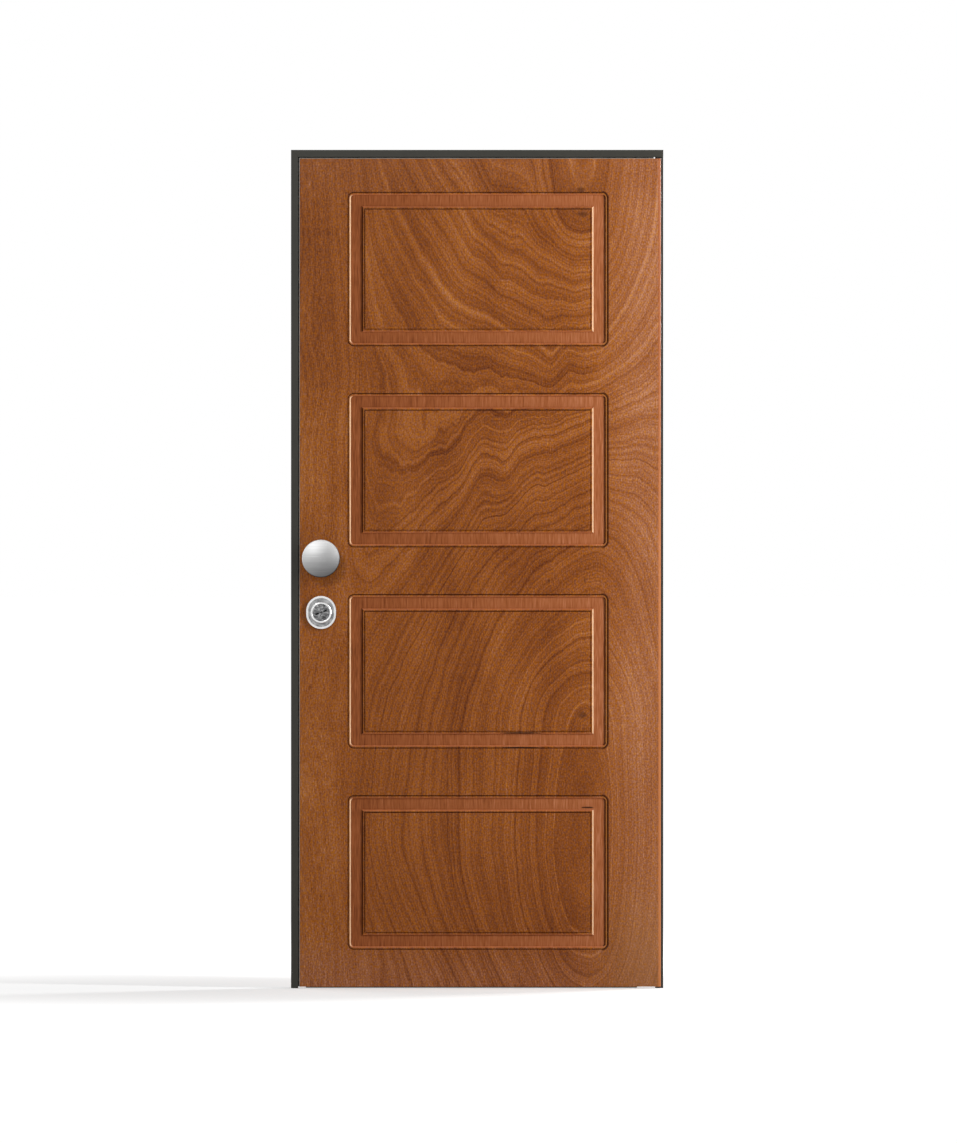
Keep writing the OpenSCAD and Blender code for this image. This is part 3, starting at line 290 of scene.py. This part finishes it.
def veneer_figure(wood, rings, fine, pores):
    """How light the veneer is, from about 0 to 1: its streaks and flecks, then the tone of each region."""
    broad = wood.noise_along(rings * 0.9, detail=1.0).math("MINIMUM", 0.13)
    middle = wood.noise_along(rings * 2.4 + 31.0)
    hair = wood.noise_along(rings * 17.0 + 5.0, detail=1.0)
    lines = wood.noise_along(rings * 1.7 + 13.0, detail=1.0).math("ABSOLUTE").step(0.040, 0.0)
    flecks = wood.noise((0.0034, 0.01, 0.0048), detail=1.0, roughness=0.6, shift=9.0)
    clouds = wood.noise((0.11, 1.0, 0.30), shift=4.0)

    # The hearts and the margins hold less figure, and the lower half has fainter streaks
    ragged = wood.noise((0.030, 1.0, 0.05), detail=3.0, shift=3.0) * 0.50
    heart = (wood.hill(x=0.262, z=0.402, half_w=0.082, half_h=0.300) + ragged).step(0.48, 0.52)
    strength = wood.x.step(-0.40, -0.05).span(0.40, 1.0) * heart.span(1.0, 0.35)
    strength = strength * wood.x.step(0.27, 0.36).span(1.0, 0.68)
    upper_heart = wood.hill(x=0.262, z=2.030, half_w=0.075, half_h=0.080)
    strength = strength * upper_heart.span(1.0, 0.45)
    upper_half = wood.z.step(1.0, 1.3)
    streaks = broad * upper_half.span(0.36, 0.54) + middle * upper_half.span(0.36, 0.46)
    figure = (streaks + fine * 0.33 + hair * 0.15 - lines * 0.11) * strength
    beside_lock = wood.x.step(-0.26, -0.40)
    figure = figure + pores * beside_lock.span(0.55, 1.0) + flecks * 0.72 + clouds * 0.42 + 0.52

    # The right margin is lighter, though less at its ends; the left one is lighter below and darker above
    toward_ends = wood.z.step(0.36, 0.06) * 0.06 + wood.z.step(1.96, 2.05) * 0.11
    right_margin = wood.x.step(0.25, 0.42)
    figure = figure + right_margin * (wood.z.step(0.9, 1.9).span(0.16, 0.23) - toward_ends)
    figure = figure + beside_lock * wood.z.step(1.30, 1.75).span(0.06, -0.055) - heart * 0.08

    # The middle is darker below the first field, and the head and foot are a little lighter
    middle_width = wood.x.band(-0.33, -0.20, 0.22, 0.30)
    figure = figure - middle_width * wood.z.step(1.66, 1.44) * 0.045
    foot = wood.z.step(0.16, 0.02) * wood.x.step(0.36, 0.22)
    return figure + foot * 0.10 + wood.z.step(1.98, 2.07) * 0.02


def varnished_face(wood, figure):
    """Warm and cool browns that mottle each other, cooler at the right and at the ends."""
    warm = wood.ramp(figure, [
        (0.10, srgb(86, 34, 0)),
        (0.35, srgb(125, 63, 2)),
        (0.52, srgb(149, 81, 8)),
        (0.70, srgb(168, 98, 20)),
        (0.92, srgb(196, 130, 52)),
    ])
    cool = wood.ramp(figure, [
        (0.10, srgb(75, 34, 18)),
        (0.35, srgb(112, 63, 38)),
        (0.52, srgb(133, 79, 50)),
        (0.70, srgb(153, 98, 70)),
        (0.92, srgb(184, 132, 106)),
    ])
    mottle = wood.noise((0.0052, 0.01, 0.0064), roughness=0.6, shift=21.0) * 4.2 + 0.44
    ends_faded = wood.z.step(0.16, 0.02) * 0.36 + wood.z.step(1.95, 2.08) * 0.15
    off_right = wood.x.step(0.36, 0.22)
    faded = wood.x.step(0.26, 0.43) * 0.30 + ends_faded * off_right.span(0.25, 1.0)
    face = wood.mix(mottle + faded, warm, cool)

    # The lower right corner is sallow, and the edge at the hinges is tinted orange, lighter towards the
    # foot
    sallow = wood.x.step(0.25, 0.42) * wood.z.step(0.36, 0.06) * 0.26
    face = wood.mix(sallow, face, srgb(152, 112, 70))
    edge_tint_start, edge_tint_end = 0.0075, 0.0055
    rubbed = wood.x.step(PANEL_HIGH.x - edge_tint_start, PANEL_HIGH.x - edge_tint_end) * 0.75
    hinge_edge_colour = wood.mix(wood.z.step(0.9, 1.9), srgb(193, 120, 72), srgb(154, 78, 38))
    return wood.mix(rubbed, face, hinge_edge_colour)


def mark_face(wood, face):
    """Knots, pin marks, and a painted shadow of the knob off its lower right."""
    halo = wood.hill(x=0.264, z=1.990, half_w=0.045, half_h=0.055) * 0.30
    face = wood.mix(halo, face, srgb(96, 48, 22))
    knots = wood.hill(x=0.262, z=2.016, half_w=0.011, half_h=0.009)
    knots = knots + wood.hill(x=0.266, z=1.955, half_w=0.016, half_h=0.007)
    knots = knots + wood.hill(x=0.266, z=0.690, half_w=0.013, half_h=0.011)
    ragged = wood.noise((0.006, 1.0, 0.006), shift=6.0) * 0.8
    face = wood.mix((knots + ragged * knots).step(0.25, 0.85) * 0.62, face, srgb(62, 30, 16))
    for x, z in ((0.133, 1.706), (0.181, 1.029), (0.272, 1.031), (0.189, 0.172)):
        pin = wood.hill(x, z, half_w=0.0022, half_h=0.006) * 0.75
        face = wood.mix(pin, face, srgb(66, 32, 18))
    # A painted shadow of the knob: a soft dark patch off its lower right
    right_of_knob, below_knob, knob_shadow_r = 0.012, 0.017, 0.035
    knob_shadow = wood.hill(KNOB.x + right_of_knob, KNOB.z - below_knob, knob_shadow_r, knob_shadow_r) * 0.72
    return wood.mix(knob_shadow, face, srgb(72, 36, 14))


def routed_floor(wood):
    """The straight, paler grain that the router laid bare."""
    hatch = wood.noise((0.0055, 1.0, 0.11), roughness=0.6, shift=12.0)
    hatch = hatch + wood.noise((0.0018, 1.0, 0.03), detail=1.0)
    return wood.ramp(hatch * 0.62 + wood.x * 0.32 + 0.5, [
        (0.15, srgb(102, 49, 24)),
        (0.45, srgb(146, 82, 44)),
        (0.60, srgb(161, 95, 57)),
        (0.85, srgb(186, 122, 86)),
    ])


def paint_bead_light_and_shade(wood, surface, rounding, walls):
    """Painted highlights on the beads: pale on slopes that face right and reddish on those that face up or
    down.
    Painted shade on the walls that face left."""
    across, _, up = wood.coordinates("Normal")
    wear_and_highlight = rounding * (wood.noise((0.012, 1.0, 0.012), shift=15.0) * 0.5 + 0.88)
    surface = wood.mix(wear_and_highlight * across.step(0.15, 0.60), surface, srgb(255, 214, 172))
    up_down_highlight = up.step(0.15, 0.70) * 0.62 + up.step(-0.15, -0.70) * 0.50
    surface = wood.mix(wear_and_highlight * up_down_highlight, surface, srgb(224, 132, 84))
    return wood.mix(walls * across.step(-0.22, -0.55) * 0.90, surface, srgb(58, 16, 0))


def shade_grooves(wood, surface, groove):
    """Painted shade in the grooves, fainter at the right and at the foot of each field."""
    groove_w, soft = 0.0025, 0.001
    right = FIELD_RIGHT - CHANNEL_WIDTH
    less_shade = wood.x.band(right - soft, right, right + groove_w, right + groove_w + soft)
    for low, _ in FIELD_SPANS:
        foot = low + CHANNEL_WIDTH
        across_foot = wood.z.band(foot - groove_w - soft, foot - groove_w, foot, foot + soft)
        less_shade = less_shade.math("MAXIMUM", across_foot)
    return wood.mix(groove * less_shade.span(0.92, 0.32), surface, srgb(52, 20, 8))


def paint_right_side_light_and_shade(wood, surface, depth):
    """At the right of each channel, a painted tan highlight on the crown and a painted shade line that
    follows it round the corners.
    """
    right_side = wood.x.step(FIELD_RIGHT - 0.020, FIELD_RIGHT - 0.010)
    crown = depth.band(0.0003, 0.0005, 0.0007, 0.0010) * right_side
    surface = wood.mix(crown * 0.75, surface, srgb(160, 98, 40))
    for low, high in FIELD_SPANS:
        middle_z = (low + high) / 2
        straight_half = (high - low) / 2 - CHANNEL_CORNER
        out_z = ((wood.z - middle_z).math("ABSOLUTE") - straight_half).math("MAXIMUM", 0.0)
        out_x = (wood.x - (FIELD_RIGHT - CHANNEL_CORNER)).math("MAXIMUM", 0.0)
        outside = (out_x ** 2 + out_z ** 2).math("SQRT") - CHANNEL_CORNER
        line = outside.band(-0.0002, 0.0, 0.0018, 0.0034) * right_side
        surface = wood.mix(line * 0.80, surface, srgb(58, 20, 4))
    return surface


def tear_grain(wood, surface):
    """Three fissures where the router tore the grain."""
    half_h = 0.0024
    for x, z, half_w in ((0.1110, 0.6446, 0.062), (0.1085, 0.6075, 0.060), (0.2785, 0.4565, 0.019)):
        ragged = wood.noise((0.004, 1.0, 0.003), shift=2.0) * 0.5
        torn = (wood.hill(x, z, half_w, half_h) + ragged).step(0.40, 0.62)
        surface = wood.mix(torn * 0.88, surface, srgb(28, 14, 8))
    return surface


def ply_edge(wood, depth):
    """The plies that show on the sheet's edges."""
    ply_rate = 1700.0
    plies = (depth * ply_rate).math("SINE") * 0.5 + wood.noise((0.05, 0.002, 0.05), detail=1.0) + 0.5
    return wood.ramp(plies, [
        (0.2, srgb(96, 54, 32)),
        (0.8, srgb(172, 116, 76)),
    ])


def outer_wood():
    """Rotary-cut plywood under a satin varnish, with channels routed into it."""
    wood = Surface("outer_wood", Specular_IOR_Level=0.12)
    rings = growth_rings(wood)
    fine = wood.noise_along(rings * 7.0 + 77.0)
    pores = wood.noise((0.0016, 0.01, 0.024), roughness=0.6)
    figure = veneer_figure(wood, rings, fine, pores)
    face = mark_face(wood, varnished_face(wood, figure))

    # How deep below the face the floor, the beads' rounding, their walls and the grooves begin and end
    depth = wood.y - WOOD_FACE
    inside_margins = wood.x.band(-0.350, -0.340, 0.342, 0.352)
    floor = depth.step(0.0030, 0.0045)
    rounding = depth.band(0.0007, 0.0012, 0.0034, 0.0046) * inside_margins
    walls = depth.step(0.0009, 0.0016) * inside_margins
    groove = depth.band(0.00240, 0.00250, 0.00265, 0.00275) * inside_margins
    sheet_edge = depth.step(CHANNEL_DEPTH + 0.0003, CHANNEL_DEPTH + 0.0008)

    surface = wood.mix(floor, face, routed_floor(wood))
    # Painted highlights and shade on the beads, painted shade in the grooves, and a painted highlight and
    # shade line at the right of each channel
    surface = paint_bead_light_and_shade(wood, surface, rounding, walls)
    surface = shade_grooves(wood, surface, groove)
    surface = paint_right_side_light_and_shade(wood, surface, depth)
    surface = tear_grain(wood, surface)
    wood.colour(wood.mix(sheet_edge, surface, ply_edge(wood, depth)))
    bare = (walls + groove).math("MINIMUM", 1.0)
    wood.roughness(figure * -0.10 + 0.38 + bare * 0.62)
    wood.bump(pores * 0.7 + fine * 0.3 + 0.5, 0.00012)
    return wood.material


def inner_wood():
    """Straight-grained veneer under a satin varnish."""
    wood = Surface("inner_wood", Specular_IOR_Level=0.18)
    rings_per_metre = 21.0
    drift = wood.noise((0.20, 1.0, 0.9), detail=1.0) * 1.6
    sway = (wood.z * 2.1).math("SINE") * 0.25
    rings = wood.x * rings_per_metre + drift + sway
    bands = wood.noise_along(rings * 1.1, roughness=0.6)
    lines = wood.noise_along(rings * 7.0 + 50.0)
    pores = wood.noise((0.0014, 0.01, 0.03), roughness=0.6)
    flecks = wood.noise((0.0034, 0.01, 0.0060), detail=1.0, roughness=0.6, shift=9.0)
    figure = bands * 0.9 + lines * 0.4 + pores * 0.5 + flecks * 0.4 + 0.5
    warm = wood.ramp(figure, [
        (0.10, srgb(84, 36, 4)),
        (0.45, srgb(134, 72, 14)),
        (0.70, srgb(160, 94, 28)),
        (0.95, srgb(186, 122, 54)),
    ])
    cool = wood.ramp(figure, [
        (0.10, srgb(74, 36, 18)),
        (0.45, srgb(122, 72, 44)),
        (0.70, srgb(148, 94, 64)),
        (0.95, srgb(178, 124, 92)),
    ])
    mottle = wood.noise((0.0052, 0.01, 0.0090), roughness=0.6, shift=21.0) * 3.4 + 0.46
    wood.colour(wood.mix(mottle, warm, cool))
    wood.roughness(figure * -0.1 + 0.44)
    wood.bump(pores + 0.5, 0.0001)
    return wood.material


def paint(name, colour, wear_and_highlight, roughness=0.46):
    """Semi-matt powder coat with a fine orange peel, a little dust and rubbed patches."""
    edge_radius = 0.0009
    coat = Surface(name, Specular_IOR_Level=0.3)
    peel = coat.noise((0.0016, 0.0016, 0.0016))
    cloud = coat.noise((0.09, 0.09, 0.22), detail=3.0, roughness=0.6)
    speck = coat.noise((0.0028, 0.0028, 0.0028), detail=1.0, shift=5.0)
    tone = cloud * 0.8 + speck * 0.35 + peel * 0.2 + 0.5
    coat.colour(coat.ramp(tone, [(0.25, colour), (0.85, wear_and_highlight)]))
    coat.roughness(cloud * 0.18 + speck * 0.1 + roughness)
    coat.bump(peel + 0.5, 0.00008, edge_radius)
    return coat.material


def brushed(name, dark, light, cell, roughness=0.28):
    """Bare or plated metal with fine lines; cell is the size of one line along x, y and z."""
    metal = Surface(name, Metallic=1.0)
    lines = metal.noise(cell, detail=3.0, roughness=0.65)
    cloud = metal.noise((0.03, 0.03, 0.03), shift=8.0)
    tone = lines * 0.7 + cloud * 0.6 + 0.5
    metal.colour(metal.ramp(tone, [(0.2, dark), (0.8, light)]))
    metal.roughness(lines * 0.16 + cloud * 0.12 + roughness)
    metal.bump(lines + 0.5, 0.00002)
    return metal.material


def satin_knob():
    """Brushed nickel, with painted light: lighter where it faces the upper left, darker where it faces the
    lower right, and painted shade on its rim.
    """
    metal = Surface("satin_knob", Metallic=1.0)
    lines = metal.noise((0.09, 0.09, 0.0011), detail=3.0, roughness=0.6)
    cloud = metal.noise((0.03, 0.03, 0.03), shift=8.0)
    across, _, up = metal.coordinates("Normal")
    rim = (up ** 2 + across ** 2).step(0.42, 0.75)
    # Painted light and shade by facing, with the brushed lines and cloud on top
    painted_light_and_lines = up * 0.62 - across * 0.40 + lines * 0.24 + cloud * 0.05 - rim * 0.06 + 0.46
    metal.colour(metal.ramp(painted_light_and_lines, [
        (0.00, srgb(50, 50, 51)),
        (0.24, srgb(108, 108, 109)),
        (0.50, srgb(152, 152, 152)),
        (0.86, srgb(226, 226, 226)),
    ]))
    metal.roughness(lines * 0.10 + cloud * 0.08 + 0.54)
    metal.bump(lines + 0.5, 0.00002)
    return metal.material


def bright_chrome():
    """A polished rim and collar about a greyer dish with turning marks."""
    metal = Surface("bright_chrome", Metallic=1.0)
    marks_per_metre = 900.0
    lines = metal.noise((0.02, 0.02, 0.0006), detail=3.0, roughness=0.65)
    cloud = metal.noise((0.012, 0.012, 0.012), shift=8.0)
    dish = (metal.y - PLATE_LOW.y).step(0.0006, 0.0013)
    centre = (PLATE_LOW + PLATE_HIGH) / 2
    radius = ((metal.x - centre.x) ** 2 + (metal.z - centre.z) ** 2).math("SQRT")
    turned = metal.noise_along(radius * marks_per_metre, roughness=0.6)
    polished = metal.ramp(cloud * 0.8 + lines * 0.3 + 0.5, [
        (0.2, srgb(206, 206, 207)),
        (0.8, srgb(236, 236, 236)),
    ])
    greyer = metal.ramp(turned * 1.1 + cloud * 1.2 + 0.5, [
        (0.2, srgb(84, 84, 85)),
        (0.8, srgb(172, 172, 172)),
    ])
    metal.colour(metal.mix(dish, polished, greyer))
    metal.roughness(dish * 0.16 + lines * 0.12 + 0.18)
    metal.bump(lines + 0.5, 0.00002)
    return metal.material


def dark_guard():
    """A hardened disc, scratched by keys, with painted shade in its slot."""
    metal = Surface("dark_guard", Metallic=1.0)
    lines = metal.noise((0.012, 0.012, 0.0006), detail=3.0, roughness=0.65)
    smears = metal.noise((0.008, 0.02, 0.006), detail=3.0, roughness=0.6, twist=0.6, shift=8.0)
    # Painted shade in the slot, below the disc's face
    slot_shade = (metal.y - GUARD_FACE).step(0.0004, 0.0011)
    face = metal.ramp(smears * 1.6 + lines * 0.5 + 0.5, [
        (0.15, srgb(52, 52, 53)),
        (0.50, srgb(104, 104, 105)),
        (0.90, srgb(178, 178, 178)),
    ])
    metal.colour(metal.mix(slot_shade, face, srgb(12, 12, 13)))
    metal.roughness(smears * 0.3 + lines * 0.1 + 0.38)
    metal.bump(lines + 0.5, 0.00003)
    return metal.material


def zinc():
    """Zinc plating with the faint spangle of a hot bath."""
    metal = Surface("zinc_steel", Metallic=1.0)
    spangles_per_metre = 120
    cells = metal.tree.nodes.new("ShaderNodeTexVoronoi")
    place = metal.tree.nodes.new("ShaderNodeTexCoord")
    metal.tree.links.new(place.outputs["Object"], cells.inputs["Vector"])
    cells.inputs["Scale"].default_value = spangles_per_metre
    spangle = Field(metal.tree, cells.outputs["Distance"])
    cloud = metal.noise((0.02, 0.02, 0.02), detail=3.0, roughness=0.6)
    tone = spangle * 0.35 + cloud * 0.9 + 0.35
    metal.colour(metal.ramp(tone, [(0.2, srgb(160, 164, 168)), (0.8, srgb(206, 209, 212))]))
    metal.roughness(cloud * 0.2 + spangle * 0.1 + 0.36)
    metal.bump(cloud + 0.5, 0.00003)
    return metal.material


def rubber(name, colour, dusty):
    """Matt rubber or plastic with a mould grain and a bloom of dust."""
    soft = Surface(name)
    grain = soft.noise((0.0012, 0.0012, 0.0012))
    bloom = soft.noise((0.02, 0.02, 0.06), detail=3.0, roughness=0.6)
    soft.colour(soft.ramp(bloom + grain * 0.4 + 0.5, [(0.3, colour), (0.9, dusty)]))
    soft.roughness(bloom * 0.2 + 0.66)
    soft.bump(grain + 0.5, 0.00008)
    return soft.material


def mineral_wool():
    """Pressed fibre with a loose tangle of lighter strands."""
    wool = Surface("core_fill", Roughness=0.95, Sheen_Weight=0.2)
    strands = wool.noise((0.004, 0.003, 0.02), detail=4.0, roughness=0.7, twist=1.2)
    clumps = wool.noise((0.03, 0.03, 0.05))
    wool.colour(wool.ramp(strands + clumps * 0.6 + 0.5, [
        (0.2, srgb(150, 118, 62)),
        (0.8, srgb(222, 194, 130)),
    ]))
    wool.bump(strands + 0.5, 0.001)
    return wool.material


def make_materials():
    """One material for each of the record's slots, by its name."""
    materials = (
        paint("frame_paint", srgb(33, 32, 26), srgb(45, 43, 36)),
        paint("trim_paint", srgb(112, 113, 109), srgb(140, 141, 137), roughness=0.42),
        paint("hinge_steel", srgb(56, 57, 53), srgb(76, 77, 73), roughness=0.4),
        zinc(),
        brushed("bolt_steel", srgb(186, 188, 190), srgb(222, 223, 224), cell=(0.06, 0.0006, 0.0006)),
        rubber("rubber_seal", srgb(24, 24, 24), srgb(44, 44, 43)),
        outer_wood(),
        inner_wood(),
        mineral_wool(),
        rubber("guide_plastic", srgb(34, 34, 35), srgb(52, 52, 53)),
        brushed("bearing_brass", srgb(176, 140, 72), srgb(214, 180, 108), cell=(0.002, 0.002, 0.0004)),
        satin_knob(),
        bright_chrome(),
        dark_guard(),
        brushed("cylinder_brass", srgb(178, 158, 104), srgb(212, 194, 140), cell=(0.01, 0.0005, 0.01)),
        brushed("satin_handle", srgb(142, 142, 141), srgb(186, 186, 185), cell=(0.05, 0.0006, 0.0006),
                roughness=0.36),
    )
    return {material.name.split(".")[0]: material for material in materials}


def dress_nodes(materials):
    """Every solid takes its slot's material."""
    for node in NODES.values():
        for slot in node.material_slots:
            slot.material = materials[slot.material.name.split(".")[0]]


def round_edges(names, width):
    """Takes the sharpness off the edges of the named solids."""
    for name in names:
        node = NODES[name]
        weld = node.modifiers.new("weld", "WELD")
        weld.merge_threshold = 0.000001
        edge = node.modifiers.new("edge", "BEVEL")
        edge.width = width
        edge.segments = 2
        edge.limit_method = "ANGLE"
        edge.angle_limit = math.radians(40)
        node.modifiers.new("shade", "WEIGHTED_NORMAL")


def seen_directly(tree):
    """1 for a ray that the eye, a gloss or a glass sends, 0 for the rest."""
    path = tree.nodes.new("ShaderNodeLightPath")
    seen = Field(tree, path.outputs["Is Camera Ray"])
    for name in ("Is Glossy Ray", "Is Transmission Ray"):
        seen = seen.math("MAXIMUM", Field(tree, path.outputs[name]))
    return seen


def make_world():
    """White all round to the eye, and a softer even light on the surfaces."""
    ambient = 0.1
    world = bpy.data.worlds.new("studio")
    bpy.context.scene.world = world
    world.use_nodes = True
    tree = world.node_tree
    background = tree.nodes["Background"]
    background.inputs["Color"].default_value = (1, 1, 1, 1)
    strength = seen_directly(tree).span(ambient, 1)
    tree.links.new(strength.socket, background.inputs["Strength"])


def make_floor():
    """A pale floor that keeps the door's shadow, and glows white to the eye farther off."""
    half = 600.0
    near_glow, far_glow = 0.36, 0.94
    near, far = 0.7, 3.6
    mesh = bpy.data.meshes.new("floor")
    corners = [(-half, -half, 0), (half, -half, 0), (half, half, 0), (-half, half, 0)]
    mesh.from_pydata(corners, [], [(0, 1, 2, 3)])
    floor = bpy.data.objects.new("floor", mesh)
    bpy.context.scene.collection.objects.link(floor)
    pale = Surface("floor", Roughness=0.9, Specular_IOR_Level=0.0)
    pale.colour(pale.ramp(pale.noise((0.5, 0.5, 0.5)) + 0.5, [
        (0.0, srgb(228, 228, 228)),
        (1.0, srgb(232, 232, 232)),
    ]))
    pale.shader.inputs["Emission Color"].default_value = (1, 1, 1, 1)
    away = (pale.x ** 2 + pale.y ** 2).math("SQRT").step(near, far)
    glow = seen_directly(pale.tree) * away.span(near_glow, far_glow)
    pale.tree.links.new(glow.socket, pale.shader.inputs["Emission Strength"])
    mesh.materials.append(pale.material)


def make_lamp(name, place, target, size, watts, colour=(1, 1, 1)):
    """A soft box of the given width and height at place, facing target."""
    lamp = bpy.data.lights.new(name, "AREA")
    lamp.shape = "RECTANGLE"
    lamp.size, lamp.size_y = size
    lamp.energy = watts
    lamp.color = colour
    holder = bpy.data.objects.new(name, lamp)
    bpy.context.scene.collection.objects.link(holder)
    holder.location = place
    aim = Vector(target) - Vector(place)
    holder.rotation_euler = aim.to_track_quat("-Z", "Y").to_euler()


def make_lamps():
    """In front, a tall strip at the right and a soft box at the upper left; behind, two more boxes."""
    warm_white = (1.0, 0.99, 0.98)
    make_lamp("strip", (2.5, -2.0, 2.1), (0.0, 0.0, 2.1), size=(0.4, 2.6), watts=98, colour=warm_white)
    make_lamp("fill", (-2.0, -5.6, 3.5), (0.0, 0.0, 1.0), size=(0.9, 0.9), watts=100)
    make_lamp("back_key", (2.4, 2.8, 2.4), (0.0, 0.0, 1.2), size=(0.9, 1.8), watts=110)
    make_lamp("back_fill", (-3.0, 5.0, 2.8), (0.0, 0.0, 1.0), size=(2.2, 2.2), watts=90)


def make_camera():
    """A long lens square to the door, placed by the photograph's centre and scale."""
    metres_per_pixel = 0.002525
    image_h = 1143
    centre_x, centre_z = 0.0034, 1.0524
    distance = 40.0
    sensor = 36.0
    data = bpy.data.cameras.new("camera")
    data.sensor_fit = "VERTICAL"
    data.sensor_height = sensor
    data.lens = sensor * distance / (image_h * metres_per_pixel)
    data.clip_end = 2000
    camera = bpy.data.objects.new("camera", data)
    bpy.context.scene.collection.objects.link(camera)
    camera.location = (centre_x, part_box("lock_jamb")[0].y - distance, centre_z)
    camera.rotation_euler = (math.radians(90), 0, 0)
    bpy.context.scene.camera = camera


bpy.context.scene.view_settings.view_transform = "Standard"
dress_nodes(make_materials())
for edge_width, edge_names in ROUNDED_EDGES:
    round_edges(edge_names, edge_width)
make_world()
make_floor()
make_lamps()
make_camera()
